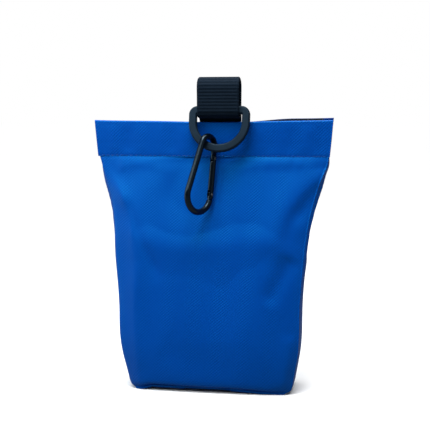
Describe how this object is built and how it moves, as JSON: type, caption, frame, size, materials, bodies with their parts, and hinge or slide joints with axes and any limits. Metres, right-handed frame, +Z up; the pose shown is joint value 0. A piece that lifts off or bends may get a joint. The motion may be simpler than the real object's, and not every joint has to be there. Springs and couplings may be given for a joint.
{
  "type": "treat pouch",
  "caption": "Flat-topped fabric treat pouch with a spring flex-frame mouth, a webbing belt loop, a plastic D-ring and a small carabiner on the ring.",
  "frame": {"origin": "centre of the underside of the base, on the surface the pouch stands on", "axes": "+Z up to the mouth and belt loop, -Y the face with the D-ring, +X the pouch's width to the right of someone facing the D-ring"},
  "size_m": [0.14, 0.0468, 0.183],
  "materials": {
    "shell": "coated woven polyester, soft sheen",
    "casing": "coated woven polyester, hemmed",
    "lining": "wipe-clean coated lining",
    "frame_steel": "blued spring steel",
    "webbing": "ribbed polyester webbing",
    "ring_plastic": "moulded, satin",
    "clip_metal": "glossy black anodised",
    "pin_steel": "satin"
  },
  "bodies": {
    "base": {"gusset": "shell", "lining_gusset": "lining", "frame_pin_left": "frame_steel", "frame_pin_right": "frame_steel"},
    "front_wall": {"front_panel": "shell", "front_casing": "casing", "front_lining": "lining", "front_frame_strip": "frame_steel", "webbing_loop": "webbing"},
    "back_wall": {"back_panel": "shell", "back_casing": "casing", "back_lining": "lining", "back_frame_strip": "frame_steel"},
    "ring": {"d_ring": "ring_plastic"},
    "carabiner": {"carabiner_frame": "clip_metal", "gate_hinge_pin": "pin_steel"},
    "gate": {"carabiner_gate": "clip_metal", "gate_latch_pin": "pin_steel", "gate_plunger": "pin_steel", "gate_spring": "pin_steel"}
  },
  "joints": [
    {"name": "mouth_open", "type": "hinge", "parent": "base", "child": "front_wall", "pos_m": [0, -0.0165, 0], "axis": [1, 0, 0], "range_deg": [0, 8], "stiffness_Nm_per_rad": 2, "springref_deg": -1.15, "deforming": ["front_frame_strip", "back_frame_strip"]},
    {"name": "back_open", "type": "hinge", "parent": "base", "child": "back_wall", "pos_m": [0, 0.0165, 0], "axis": [-1, 0, 0], "range_deg": [0, 8]},
    {"name": "ring_swing", "type": "hinge", "parent": "front_wall", "child": "ring", "pos_m": [0.0057, -0.0072, 0.1639], "axis": [-1, 0, 0], "range_deg": [0, 135]},
    {"name": "carabiner_swing", "type": "hinge", "parent": "ring", "child": "carabiner", "pos_m": [-0.0003, -0.01193, 0.14351], "axis": [0, 0.9763, -0.2164], "range_deg": [-5, 25]},
    {"name": "gate_open", "type": "hinge", "parent": "carabiner", "child": "gate", "pos_m": [0.00215, -0.00808, 0.13635], "axis": [-0.848, 0.5299, -0.0053], "range_deg": [0, 24], "stiffness_Nm_per_rad": 0.01, "springref_deg": -5.73}
  ],
  "couplings": [
    {"joint": "back_open", "follows": "mouth_open", "ratio": 1}
  ]
}
